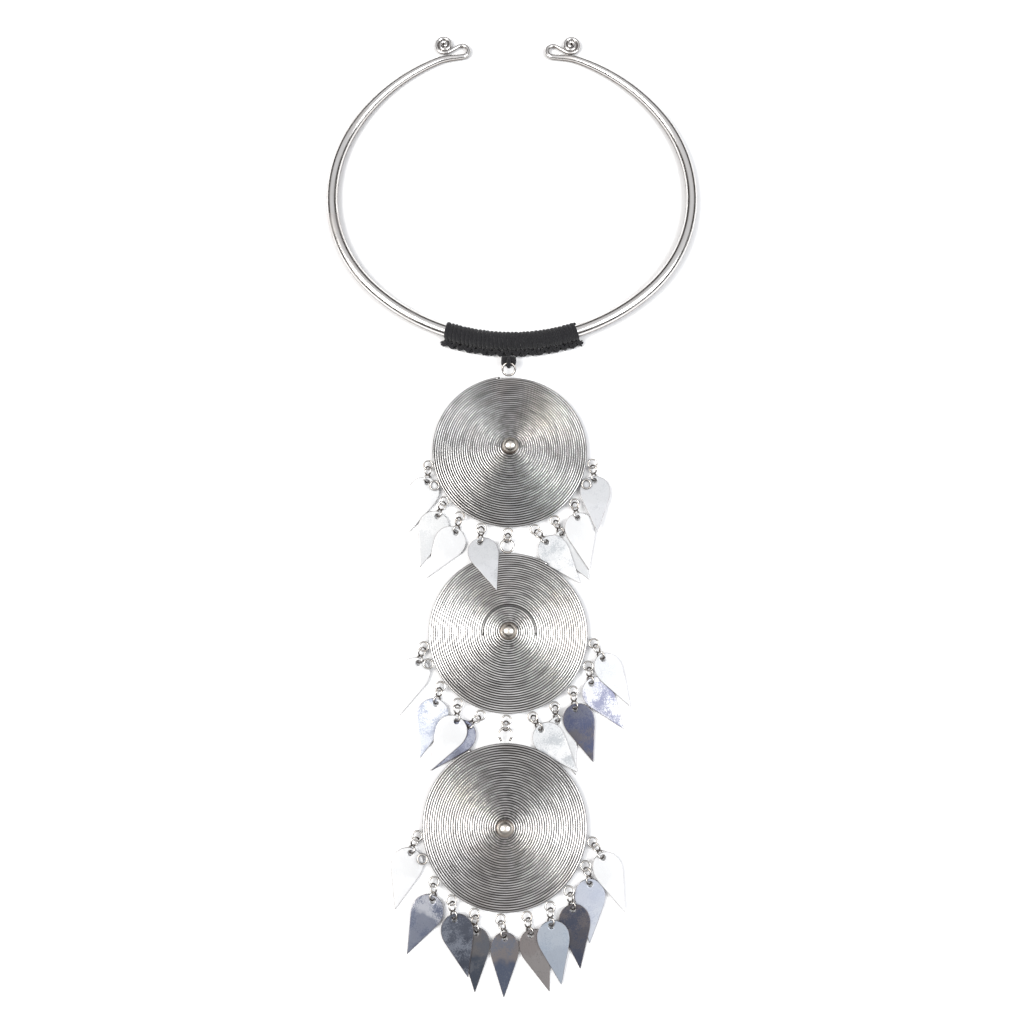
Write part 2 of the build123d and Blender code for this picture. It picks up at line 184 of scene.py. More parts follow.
# Leaves
leaf_length = 21.0
leaf_width = 10.9
leaf_sheet = 0.4
leaf_shoulder = 9.0  # radius below the widest point
leaf_hole = 2.0
leaf_hole_drop = 1.75  # from the top edge to the hole's centre
leaf_rows = (0.05, 0.13, 0.24, 0.38, 0.54, 0.7, 0.84, 0.94, 1.0)  # edges round it, from hole to outline
leaf_crown = 0.07  # how far the sides lie below the middle
leaf_ripple = 0.06
ripple_across = 0.16  # how quickly the ripple changes, a millimetre
ripple_along = 0.11
leaf_bevel = 0.09
# width of the band of painted shade along a leaf's cut edge
leaf_shaded_rim = 0.4

# The tone is the silver's on a coil's crests, set for each disc as painted light to how bright that disc
# looks under the lamps, and a sunk turn is given by its radius.
Disc = namedtuple("Disc", "name x y bail_turn bail_rise pear coil_end tone sunk")
DISCS = [
    Disc("top", -0.6, -99.7, 1, 30, False, 188, (0.66, 0.655, 0.65), 0),
    Disc("middle", -1.1, -165.3, 1, 0, False, 150, (0.88, 0.865, 0.85), 9.3),
    Disc("bottom", -2.2, -230.7, 0, 0, True, 205, (0.70, 0.685, 0.675), 0),
]
JOINT_RING_ANGLE = -1.5
BARE_RINGS = {"top": [-65, 66, JOINT_RING_ANGLE], "middle": [-69, JOINT_RING_ANGLE], "bottom": [-69]}

# One row for each leaf: its rim ring's angle, its link's heading and reach, the leaf's heading, the
# height of its hole, its pitch and roll, its share of the full width, the side that the link's
# upper eye is turned to, and its finish with the painted reflection it is given.
Leaf = namedtuple("Leaf", "rim link reach heading hole pitch roll width lie finish")
LEAVES = {
    "top": [
        Leaf(-80, -3, 6.15, -19, 1.35, -3.4, 0, 1.02, 1, "white"),
        Leaf(-52, -25, 5.9, -18, 1.35, -3.4, -2, 1.0, -1, "grey"),
        Leaf(-37, -13, 6.0, -32, 1.42, -2.9, -3, 1.02, 1, "white"),
        Leaf(-20, -6, 5.3, 18, 2.27, 12.5, -6, 1.0, -1, "pale_grey"),
        Leaf(17, 42, 6.15, 39, 1.93, -3.3, 3, 1.0, 1, "pale_mottled"),
        Leaf(32, 28, 5.7, 31, 1.35, -3.4, 0, 0.97, -1, "grey"),
        Leaf(50, 12, 5.3, 12, 2.04, -3.0, -2, 1.0, 1, "white"),
        Leaf(81, 7, 6.15, 2, 1.35, 4.7, 0, 1.0, 1, "pale_grey"),
    ],
    "middle": [
        Leaf(-81, -19, 6.0, -19, 1.35, -3.4, 0, 1.0, -1, "white"),
        Leaf(-52, -15, 6.15, -16, 1.35, -3.4, 0, 1.0, 1, "ice_blue"),
        Leaf(-36, -3, 6.15, -28, 2.41, -4.9, -2, 1.0, -1, "white"),
        Leaf(-19, -48.3, 6.0, -40, 1.35, -3.4, 3, 1.0, -1, "navy"),
        Leaf(16, 33, 5.3, 41, 1.90, -3.1, 3, 1.0, -1, "pale_mottled"),
        Leaf(32, 11, 5.15, 19, 1.35, -3.4, 0, 0.97, -1, "grey"),
        Leaf(48, 6, 6.15, 19, 2.05, -3.9, -2, 1.0, -1, "navy_umber"),
        Leaf(67.5, 9, 6.15, 36, 1.35, -3.4, -3, 1.0, -1, "speckled"),
        Leaf(83, 30, 6.1, 30, 1.92, -3.6, -2, 0.88, -1, "pale_grey"),
    ],
    "bottom": [
        Leaf(-84, -22, 6.15, -15, 1.35, -3.4, 0, 1.0, -1, "white"),
        Leaf(-53, -4, 6.15, -26, 1.35, -3.4, 0, 1.0, 1, "storm"),
        Leaf(-37, 10, 6.15, 14, 2.10, -2.8, 2, 1.0, -1, "night"),
        Leaf(-20, 4.5, 6.15, -1, 1.35, -3.4, 0, 0.87, -1, "umber_over_navy"),
        Leaf(-3, 13.5, 6.15, -1, 1.35, -3.4, 0, 0.87, 1, "umber_over_blue"),
        Leaf(14, 11.5, 6.15, 19, 1.35, -3.4, 0, 0.92, -1, "umber"),
        Leaf(30, 3, 6.15, 10, 2.04, -3.6, 0, 1.0, -1, "steel"),
        Leaf(45.5, 12, 6.15, 7, 1.50, -3.6, 0, 0.97, -1, "umber_rimmed"),
        Leaf(64.5, 14, 6.15, -1, 1.35, -3.4, 0, 0.95, 1, "lavender"),
        Leaf(80, 34, 6.1, 22, 2.06, -2.0, -2, 0.9, 1, "white"),
    ],
}

# A finish is a sheet's tone at its top and at its point, painted reflection of what the tilted
# polished sheet mirrors, how far down the one gives way to the other, the tone of its blotches and
# how much of it they cover, how strong its brushing is, how metallic it looks under its haze of fine
# scratches, and the record's slot it belongs to.
Finish = namedtuple("Finish", "top point change blotch cover brushing metallic slot")
FINISHES_AND_REFLECTIONS = {
    "white": Finish(
        (0.67, 0.675, 0.68), (0.71, 0.715, 0.72), 10, (0.70, 0.71, 0.73), 0.12, 0.2, 0.35, "leaf_white",
    ),
    "pale_grey": Finish(
        (0.62, 0.63, 0.645), (0.66, 0.67, 0.69), 10, (0.52, 0.53, 0.55), 0.2, 0.3, 0.45, "leaf_grey",
    ),
    "grey": Finish(
        (0.68, 0.685, 0.685), (0.60, 0.605, 0.61), 9, (0.52, 0.53, 0.54), 0.2, 0.3, 0.45, "leaf_grey",
    ),
    "pale_mottled": Finish(
        (0.66, 0.67, 0.68), (0.74, 0.745, 0.75), 8, (0.40, 0.42, 0.44), 0.22, 0.4, 0.4, "leaf_white",
    ),
    "ice_blue": Finish(
        (0.72, 0.735, 0.76), (0.60, 0.625, 0.68), 8, (0.31, 0.345, 0.44), 0.24, 0.4, 0.5, "leaf_grey",
    ),
    "navy": Finish(
        (0.145, 0.155, 0.215), (0.10, 0.108, 0.145), 9, (0.27, 0.285, 0.34), 0.26, 0.6, 0.8, "leaf_blue",
    ),
    "navy_umber": Finish(
        (0.12, 0.125, 0.16), (0.105, 0.10, 0.112), 8, (0.055, 0.065, 0.12), 0.25, 0.6, 0.8, "leaf_blue",
    ),
    "speckled": Finish(
        (0.66, 0.665, 0.70), (0.76, 0.765, 0.77), 10, (0.21, 0.22, 0.325), 0.26, 0.3, 0.4, "leaf_white",
    ),
    "storm": Finish(
        (0.44, 0.45, 0.49), (0.19, 0.205, 0.255), 7, (0.10, 0.115, 0.165), 0.22, 0.6, 0.8, "leaf_blue",
    ),
    "night": Finish(
        (0.080, 0.088, 0.112), (0.060, 0.067, 0.088), 9, (0.17, 0.185, 0.22), 0.24, 0.8, 0.85, "leaf_blue",
    ),
    "umber_over_navy": Finish(
        (0.145, 0.137, 0.137), (0.060, 0.070, 0.092), 9, (0.10, 0.105, 0.12), 0.24, 0.6, 0.85, "leaf_blue",
    ),
    "umber_over_blue": Finish(
        (0.20, 0.18, 0.175), (0.082, 0.098, 0.142), 9.5, (0.13, 0.14, 0.17), 0.2, 0.6, 0.8, "leaf_brown",
    ),
    "umber": Finish(
        (0.23, 0.208, 0.203), (0.26, 0.243, 0.238), 8, (0.13, 0.12, 0.12), 0.14, 0.6, 0.8, "leaf_brown",
    ),
    "steel": Finish(
        (0.42, 0.46, 0.515), (0.36, 0.40, 0.46), 9, (0.29, 0.335, 0.40), 0.2, 1.0, 0.75, "leaf_grey",
    ),
    "umber_rimmed": Finish(
        (0.135, 0.122, 0.126), (0.090, 0.088, 0.102), 8, (0.050, 0.057, 0.085), 0.27, 0.7, 0.85, "leaf_blue",
    ),
    "lavender": Finish(
        (0.50, 0.53, 0.60), (0.55, 0.58, 0.64), 9, (0.40, 0.43, 0.51), 0.2, 0.4, 0.6, "leaf_grey",
    ),
}


def plan(degrees, length=1.0):
    """A step in plan, at an angle counted from straight down."""
    angle = math.radians(degrees)
    return Vector((length * math.sin(angle), -length * math.cos(angle), 0))


def turn(degrees, axis):
    return Matrix.Rotation(math.radians(degrees), 4, axis)


def shift(x=0.0, y=0.0, z=0.0):
    return Matrix.Translation((x, y, z))


# Pieces


def new_object(name, data):
    thing = bpy.data.objects.new(name, data)
    bpy.context.scene.collection.objects.link(thing)
    return thing


def finish_piece(bm, name, material):
    """Hand over what is worked in millimetres as a piece of the scene."""
    bmesh.ops.recalc_face_normals(bm, faces=bm.faces)
    bmesh.ops.scale(bm, vec=(MM, MM, MM), verts=bm.verts)
    for face in bm.faces:
        face.smooth = True
    mesh = bpy.data.meshes.new(name)
    bm.to_mesh(mesh)
    bm.free()
    mesh.materials.append(material)
    piece = new_object(name, mesh)
    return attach(piece, "root")


def made_verts(made):
    return [item for item in made if isinstance(item, bmesh.types.BMVert)]


def made_rim(made):
    """The open edges that an extrusion ends in."""
    return [item for item in made if isinstance(item, bmesh.types.BMEdge) and item.is_boundary]


def close_ends(bm, section):
    bmesh.ops.holes_fill(bm, edges=[edge for edge in bm.edges if edge.is_boundary], sides=section)


class Placing:
    """Whatever is made inside is made round the origin, and set in place at the end."""

    def __init__(self, bm, place):
        self.bm = bm
        self.place = place

    def __enter__(self):
        self.before = set(self.bm.verts)

    def __exit__(self, *problem):
        fresh = [vert for vert in self.bm.verts if vert not in self.before]
        bmesh.ops.transform(self.bm, matrix=self.place, verts=fresh)


def wire_ring(bm, place, radius, wire, around=28, section=8, sweep=360):
    """Round wire bent into a ring, or into a part of one that starts at +X."""
    with Placing(bm, place):
        across = shift(radius) @ turn(90, "X")
        verts = bmesh.ops.create_circle(bm, segments=section, radius=wire / 2, matrix=across)["verts"]
        edges = {edge for vert in verts for edge in vert.link_edges}
        whole = sweep == 360
        steps = max(3, round(around * sweep / 360))
        bmesh.ops.spin(
            bm, geom=verts + list(edges), cent=(0, 0, 0), axis=(0, 0, 1),
            angle=math.radians(sweep), steps=steps, use_merge=whole,
        )
    if not whole:
        close_ends(bm, section)


class BenchWire:
    """Round wire bent step by step in plan, thinning as it goes; a positive turn goes left."""

    def __init__(self, bm, start, size):
        self.bm = bm
        self.point = start
        self.heading = 0.0
        self.size = size
        across = Matrix.Translation(start) @ turn(90, "Y")
        verts = bmesh.ops.create_circle(bm, segments=20, radius=size / 2, matrix=across)["verts"]
        self.edges = list({edge for vert in verts for edge in vert.link_edges})

    def grow(self, move, size):
        made = bmesh.ops.extrude_edge_only(self.bm, edges=self.edges)["geom"]
        self.edges = made_rim(made)
        self.point = move @ self.point
        share = size / self.size
        swell = Matrix.Translation(self.point) @ Matrix.Scale(share, 4) @ Matrix.Translation(-self.point)
        bmesh.ops.transform(self.bm, matrix=swell @ move, verts=made_verts(made))
        self.size = size

    def bend(self, radius, degrees, size=None):
        first = self.size
        size = size or first
        left = math.copysign(90, degrees)
        centre = self.point + turn(self.heading + left, "Z") @ Vector((radius, 0, 0))
        steps = math.ceil(max(abs(degrees) / 8, radius * math.radians(abs(degrees)) / 2))
        swing = Matrix.Translation(centre) @ turn(degrees / steps, "Z") @ Matrix.Translation(-centre)
        for n in range(1, steps + 1):
            self.grow(swing, first + (size - first) * n / steps)
        self.heading += degrees

    def run(self, length, size=None):
        step = turn(self.heading, "Z") @ Vector((length, 0, 0))
        self.grow(Matrix.Translation(step), size or self.size)

    def round_end(self):
        """The wire's end, filed round."""
        full = self.size
        for lift in filed_lifts:
            filed = math.sqrt(max(0, 1 - (self.size / full) ** 2))
            forward = full / 2 * (math.sin(math.radians(lift)) - filed)
            self.run(forward, full * math.cos(math.radians(lift)))
        bmesh.ops.edgeloop_fill(self.bm, edges=self.edges)


# Neck ring


def oval_arc(half_width, depth):
    """One quarter of the oval: its side arc's radius, its end arc's radius and that arc's turn."""
    side = side_bend_share * depth
    end = ((half_width - side) ** 2 + depth**2 - side**2) / (2 * (depth - side))
    return side, end, math.degrees(math.atan2(half_width - side, end - depth))


def half_ring(bm, opening_back, mouth_slope):
    half_width = opening_half_width + side_wire / 2
    front = opening_front + front_wire / 2
    side, end, end_turn = oval_arc(half_width, front)
    wire = BenchWire(bm, Vector((0, -front, 0)), front_wire)
    wire.bend(end, end_turn)
    wire.bend(side, 90 - end_turn, side_wire)
    side, end, end_turn = oval_arc(half_width, opening_back + back_wire / 2)
    wire.bend(side, 90 - end_turn, shoulder_wire)
    wire.bend(end, end_turn - mouth_slope, back_wire)
    wire.bend(ease_radius, ease_turn, (back_wire + hairpin_wire) / 2)
    wire.run(hairpin_run, hairpin_wire)
    wire.bend(hairpin_radius, -(180 - mouth_slope + ease_turn + hairpin_dip), spiral_wire)
    wire.run(return_run)
    for half_turn in range(spiral_half_turns):
        wire.bend(spiral_radius - half_turn * spiral_step, 180)
    wire.round_end()


front_depth = opening_front + front_wire / 2
ring_place = shift(0, -front_depth, ring_height) @ turn(-ring_tilt, "X") @ shift(0, front_depth)


def neck_ring(metal):
    bm = bmesh.new()
    with Placing(bm, Matrix.Scale(-1, 4, (1, 0, 0))):
        half_ring(bm, opening_back_left, mouth_slope_left)
    half_ring(bm, opening_back_right, mouth_slope_right)
    bmesh.ops.remove_doubles(bm, verts=bm.verts, dist=0.01)
    bmesh.ops.transform(bm, matrix=ring_place, verts=bm.verts)
    piece = finish_piece(bm, "ring_wire", metal)
    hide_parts("neck_ring")


# Cord wrap and knot

front_bend = oval_arc(opening_half_width + side_wire / 2, front_depth)[1]


def bend_to_front(bm):
    """Bend what was worked straight along X round the front of the ring."""
    for vert in bm.verts:
        spoke = Vector((0, vert.co.y - front_bend, vert.co.z))
        spoke.rotate(Euler((0, 0, vert.co.x / front_bend)))
        vert.co = spoke + Vector((0, front_bend - front_depth, 0))
    bmesh.ops.transform(bm, matrix=ring_place, verts=bm.verts)


def wind(bm, place, section, axis, rise, doublings, steps):
    """One turn of a winding is spun, and doubled along the axis until all its turns are there."""
    axis = Vector(axis)
    with Placing(bm, Matrix.Identity(4)):
        before = set(bm.verts)
        verts = bmesh.ops.create_circle(bm, segments=section, radius=1, matrix=place)["verts"]
        edges = {edge for vert in verts for edge in vert.link_edges}
        bmesh.ops.spin(
            bm, geom=verts + list(edges), cent=(0, 0, 0), axis=axis, dvec=axis * rise / steps,
            angle=math.tau, steps=steps,
        )
        for n in range(doublings):
            turns = [vert for vert in bm.verts if vert not in before]
            faces = {face for vert in turns for face in vert.link_faces}
            edges = {edge for vert in turns for edge in vert.link_edges}
            made = bmesh.ops.duplicate(bm, geom=turns + list(edges) + list(faces))["geom"]
            bmesh.ops.translate(bm, vec=axis * rise * 2**n, verts=made_verts(made))
        turns = [vert for vert in bm.verts if vert not in before]
        bmesh.ops.remove_doubles(bm, verts=turns, dist=0.001)
        close_ends(bm, section)


def winding(bm, doublings, radius, length, cord_across, cord_along, steps=20, section=10):
    """Cord wound round the X axis."""
    across = shift(-length / 2, radius) @ Matrix.Diagonal((cord_along / 2, cord_across / 2, 1, 1))
    wind(bm, across, section, (1, 0, 0), length / 2**doublings, doublings, steps)


def cord_windings(cord):
    bm = bmesh.new()
    pitch = windings_length / (2**winding_doublings + 1)
    reach = front_wire / 2 + wrap_cord / 2
    winding(bm, winding_doublings, reach, windings_length - pitch, wrap_cord, pitch * winding_press)
    for vert in bm.verts:
        place = vert.co.x / pitch
        # 3.7 and 1.3 set the two noises apart
        swell = noise.noise(Vector((place * winding_swell_rate, 3.7, 0)))
        stray = noise.noise(Vector((place * winding_stray_rate, 0, 1.3)))
        vert.co.x += winding_stray * pitch * stray
        vert.co.yz = vert.co.yz * (1 + winding_swell * swell)
    bend_to_front(bm)
    piece = finish_piece(bm, "cord_windings", cord)
    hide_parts("cord_wrap")


def cord_ridge(cord):
    """A row of crossed hitches along the wrap's outer side, with two strands that run along it."""
    bm = bmesh.new()
    height = ridge_depth / 2 - front_wire / 2 - wrap_cord
    spacing = wrap_length / ridge_hitches
    stretch = Matrix.Diagonal((1.0, hitch_stretch, 1.0, 1))
    for n in range(ridge_hitches):
        x = -wrap_length / 2 + spacing * (n + 0.5)
        for side in (1, -1):
            place = shift(x + side * spacing / 4, -ridge_reach + side * hitch_step, height)
            across = place @ turn(side * hitch_lean, "Z") @ turn(90, "Y") @ stretch
            wire_ring(bm, across, hitch_radius, hitch_cord, 14, 7)
    for side in (-1, 1):
        with Placing(bm, shift(0, -ridge_reach - strand_step * side, height - strand_drop)):
            winding(bm, strand_doublings, strand_radius, wrap_length, strand_cord, strand_cord, 12, 6)
    bend_to_front(bm)
    finish_piece(bm, "cord_ridge", cord)


def tied_tuft(bm, place, threads, spread):
    """A tied end: a small knot with frayed threads standing out of it."""
    wire_ring(bm, place @ turn(90, "Y"), tuft_radius, tuft_cord, 14, 8)
    inner = place @ turn(inner_cross, "Z") @ turn(inner_slope, "X")
    wire_ring(bm, inner, inner_radius, inner_cord, 14, 8)
    for n in range(threads):
        lean = spread * ((n + 0.5) / threads - 0.5)
        rise = thread_rise * math.sin(n * 2.4)
        length = thread_length + thread_play * math.sin(n * 1.7)
        thread = place @ turn(lean, "Z") @ turn(90 + rise, "X") @ shift(z=length / 2)
        bmesh.ops.create_cone(
            bm, cap_ends=True, segments=6, radius1=thread_foot, radius2=thread_tip, depth=length,
            matrix=thread,
        )


def cord_tufts(cord):
    bm = bmesh.new()
    low = tuft_height - front_wire / 2 - wrap_cord
    for side, threads, spread in TUFTS:
        place = shift(side * (wrap_length / 2 - tuft_inset), -ridge_reach, low) @ turn(side * tuft_lean, "Z")
        tied_tuft(bm, place, threads, spread)
    bend_to_front(bm)
    finish_piece(bm, "cord_tufts", cord)


def cord_knot(cord):
    """Crossed strands with an ear at each side and two bands, and the loop through the bail."""
    low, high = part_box("cord_knot")
    middle = Vector((low + high) / 2) / MM
    middle.y = high.y / MM - knot_drop
    centre = Matrix.Translation(middle)
    bm = bmesh.new()
    for n in range(knot_strands):
        outward = n - knot_strands // 2
        across = centre @ shift(outward * knot_pitch) @ turn(90 + knot_lean * (-1) ** n, "Y")
        length = knot_stretch - knot_narrowing * abs(outward)
        stretch = Matrix.Diagonal((knot_height / knot_width, length, 1, 1))
        wire_ring(bm, across @ stretch, knot_radius, knot_cord, 22, 8)
    for side in (-1, 1):
        ear = centre @ shift(side * ear_reach, ear_rise) @ turn(ear_turn * side, "Z") @ turn(ear_slope, "X")
        wire_ring(bm, ear, ear_radius, ear_cord, 18, 8)
    for along, stretch in BANDS:
        band = centre @ shift(0, along, band_height) @ turn(90, "X") @ Matrix.Diagonal((stretch, 1.0, 1, 1))
        wire_ring(bm, band, band_radius, band_cord, 28, 8)
    head = Matrix.Translation(bail_head(DISCS[0]))
    wire_ring(bm, head @ turn(90, "Y"), loop_radius, loop_cord, 22, 10)
    for vert in bm.verts:
        vert.co.z = max(min(vert.co.z, high.z / MM), low.z / MM)
    piece = finish_piece(bm, "knot_lashing", cord)
    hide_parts("cord_knot")


# Coiled discs


def disc_centre(disc):
    return Vector((disc.x, disc.y, disc_rest))


def rim_ring_centre(disc, degrees):
    return disc_centre(disc) + plan(degrees, disc_radius + rim_ring_radius + link_wire / 2 - seat)


def bail_place(disc):
    reach = bail_radius + bail_wire / 2 - seat
    if disc.pear:
        lean = math.radians(pear_lean)
        reach = bail_radius * math.sin(lean) + pear_leg * math.cos(lean)
    return turn(disc.bail_turn, "Z") @ shift(0, disc_radius) @ turn(disc.bail_rise, "X") @ shift(0, reach)


def bail_head(disc):
    return (Matrix.Translation(disc_centre(disc)) @ bail_place(disc) @ shift(0, bail_radius)).translation


def coil(disc, metal):
    """One wire wound from under the bead out to the rim, down a low cone."""
    pitch = (disc_radius - coil_start) / coil_turns
    wire_radius = pitch * coil_bite
    stacked = 2 * pitch  # rise of a turn as first wound, before each is brought in to its own radius
    bm = bmesh.new()
    crest = bm.verts.layers.float.new("crest")
    dulled = bm.verts.layers.float.new("dulled")
    across = shift(disc_radius) @ turn(90, "X") @ Matrix.Scale(wire_radius, 4)
    wind(bm, across, 8, (0, 0, 1), stacked, coil_doublings, coil_segments)
    outer_end = turn(disc.coil_end - 90, "Z")
    rim = disc_radius - pitch / 2
    for vert in bm.verts:
        angle = math.atan2(vert.co.y, vert.co.x) / math.tau
        turns = round(vert.co.z / stacked - angle) + angle  # in from the rim
        above = vert.co.z - turns * stacked  # over the wire's middle
        beside = vert.co.xy.length - disc_radius  # out from it
        radius = rim - turns * pitch
        outward = radius / rim
        level = disc_height * (1 - outward)
        # disc.y makes each disc's noises its own
        sway = noise.noise(Vector((turns * coil_sway_rate, disc.y, 0))) * coil_sway
        dent_x = vert.co.x * coil_dent_rate * radius / disc_radius
        dent = noise.noise(Vector((dent_x, vert.co.y * coil_dent_rate, disc.y)))
        dent = dent * coil_dent * outward * level
        around = outer_end @ (Vector((vert.co.x, vert.co.y, 0)).normalized() * (radius + beside))
        sinking = disc.sunk and abs(radius - disc.sunk) < pitch * sunk_reach and around.y > -1
        patch_y = vert.co.y * coil_patch_rate + disc.y
        patch = noise.noise(Vector((turns * coil_patch_turn, vert.co.x * coil_patch_rate, patch_y)))
        vert[crest] = max(0.0, above / wire_radius)
        # a sunk turn is darkened in full, painted shade in its hollow; other crests are dulled in random
        # patches
        vert[dulled] = 1.0 if sinking else max(0.0, coil_dulling + coil_dull_patches * patch)
        dip = sunk_dip if sinking else 0
        vert.co = around + Vector((0, 0, level + above + sway - dip + dent))
    bmesh.ops.translate(bm, vec=disc_centre(disc), verts=bm.verts)
    piece = finish_piece(bm, f"coil_{disc.name}", metal)
    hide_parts(f"disc_{disc.name}")


def bead(disc, metal):
    bm = bmesh.new()
    top = Matrix.Translation(disc_centre(disc)) @ shift(z=disc_height + bead_rise)
    bmesh.ops.create_uvsphere(bm, u_segments=36, v_segments=20, radius=bead_radius, matrix=top)
    finish_piece(bm, f"bead_{disc.name}", metal)


def rim_fittings(disc, metal):
    """The rim's rings and the bail at its head."""
    bm = bmesh.new()
    for angle in [leaf.rim for leaf in LEAVES[disc.name]] + BARE_RINGS[disc.name]:
        wire_ring(bm, Matrix.Translation(rim_ring_centre(disc, angle)), rim_ring_radius, link_wire, 32, 8)
    place = Matrix.Translation(disc_centre(disc)) @ bail_place(disc)
    if disc.pear:
        wire_ring(bm, place @ turn(-pear_lean, "Z"), bail_radius, bail_wire, 40, 10, 180 + 2 * pear_lean)
        for side in (-1, 1):
            leg = turn(-side * pear_lean, "Z") @ shift(side * bail_radius, -pear_leg / 2) @ turn(90, "X")
            bmesh.ops.create_cone(
                bm, cap_ends=True, segments=10, radius1=bail_wire / 2, radius2=bail_wire / 2,
                depth=pear_leg, matrix=place @ leg,
            )
    else:
        wire_ring(bm, place, bail_radius, bail_wire, 40, 10)
    finish_piece(bm, f"rim_fittings_{disc.name}", metal)


# Links


def eye_place(near, axis, radius, roll):
    """An eye's place: it starts at near and reaches along axis, turned up from lying flat by roll."""
    level = Vector((0, 0, 1)).cross(axis).normalized()
    normal = axis.cross(level).normalized()
    normal.rotate(Matrix.Rotation(math.radians(roll), 3, axis))
    across = normal.cross(axis)
    turned = Matrix((axis, across, normal)).transposed().to_4x4()
    return Matrix.Translation(near + axis * radius) @ turned


def leaf_hole_place(disc, leaf):
    place = rim_ring_centre(disc, leaf.rim) + plan(leaf.link, leaf.reach)
    return Vector((place.x, place.y, leaf.hole))


def figure_eight(bm, disc, leaf):
    """A link's two eyes, with fine wire whipped round its waist."""
    ring = rim_ring_centre(disc, leaf.rim)
    end = leaf_hole_place(disc, leaf) - Vector((0, 0, link_sag))
    length = 2 * (upper_eye + lower_eye)
    start = ring + plan(leaf.link, leaf.reach - math.sqrt(length**2 - (end.z - ring.z) ** 2))
    axis = (end - start).normalized()
    waist = start + axis * 2 * upper_eye
    wire_ring(bm, eye_place(start, axis, upper_eye, leaf.lie * eye_roll), upper_eye, link_wire, 32, 8)
    wire_ring(bm, eye_place(waist, axis, lower_eye, -leaf.lie * eye_roll), lower_eye, link_wire, 30, 8)
    for n in (-1, 0, 1):
        around = eye_place(waist + axis * n * whipping_step, axis, 0, 0) @ turn(90, "Y")
        wire_ring(bm, around, whipping_radius - whipping_taper * abs(n), whipping_wire, 12, 6)


def link_set(disc, metal):
    bm = bmesh.new()
    for leaf in LEAVES[disc.name]:
        figure_eight(bm, disc, leaf)
    piece = finish_piece(bm, f"link_set_{disc.name}", metal)
    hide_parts(f"links_{disc.name}")


def jump_ring(disc, below, metal):
    ring = rim_ring_centre(disc, JOINT_RING_ANGLE)
    head = bail_head(below)
    axis = (head - ring).normalized()
    near = head - axis * (2 * joint_ring - bail_wire / 2 - link_wire / 2 - joint_slack)
    bm = bmesh.new()
    wire_ring(bm, eye_place(near, axis, joint_ring, eye_roll), joint_ring, link_wire, 34, 8)
    piece = finish_piece(bm, f"jump_ring_{disc.name}", metal)
    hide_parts(f"connector_{disc.name}")


# Leaves


def leaf_turn():
    """Half the angle of the leaf's point, in radians."""
    inset = leaf_shoulder - leaf_width / 2
    drop = leaf_length - leaf_width / 2
    return math.asin(leaf_shoulder / math.hypot(inset, drop)) - math.atan2(inset, drop)


def leaf_edge(share):
    """A point of the leaf's outline, a share of the way round from the middle of its top."""
    half = leaf_width / 2
    inset = leaf_shoulder - half
    point_turn = leaf_turn()
    foot = Vector((leaf_shoulder * math.cos(point_turn) - inset, -leaf_shoulder * math.sin(point_turn)))
    tip = Vector((0, half - leaf_length))
    top_run = half * math.pi / 2
    shoulder_run = leaf_shoulder * point_turn
    side = 1 if share <= 0.5 else -1
    way = min(share, 1 - share) * 2 * (top_run + shoulder_run + (tip - foot).length)
    if way < top_run:
        place = Vector((half * math.sin(way / half), half * math.cos(way / half)))
    elif way < top_run + shoulder_run:
        bend = (way - top_run) / leaf_shoulder
        place = Vector((leaf_shoulder * math.cos(bend) - inset, -leaf_shoulder * math.sin(bend)))
    else:
        place = foot.lerp(tip, (way - top_run - shoulder_run) / (tip - foot).length)
    return Vector((side * place.x, place.y + leaf_hole_drop - half))


def from_edge(beside, along):
    """How far a point lies inside the leaf's outline, from its place beside the middle and down it."""
    half = leaf_width / 2
    point_turn = leaf_turn()
    if along < half:
        return half - math.hypot(beside, along - half)
    if along - half > leaf_shoulder * math.sin(point_turn):
        return ((leaf_length - along) * math.tan(point_turn) - beside) * math.cos(point_turn)
    return leaf_shoulder - math.hypot(beside + leaf_shoulder - half, along - half)


def leaf_place(disc, leaf):
    forward = plan(leaf.heading) + Vector((0, 0, math.tan(math.radians(leaf.pitch))))
    sideways = plan(leaf.heading + 90) + Vector((0, 0, math.tan(math.radians(leaf.roll))))
    normal = sideways.cross(-forward).normalized()
    sideways.normalize()
    turned = Matrix((sideways, normal.cross(sideways), normal)).transposed().to_4x4()
    return Matrix.Translation(leaf_hole_place(disc, leaf)) @ turned


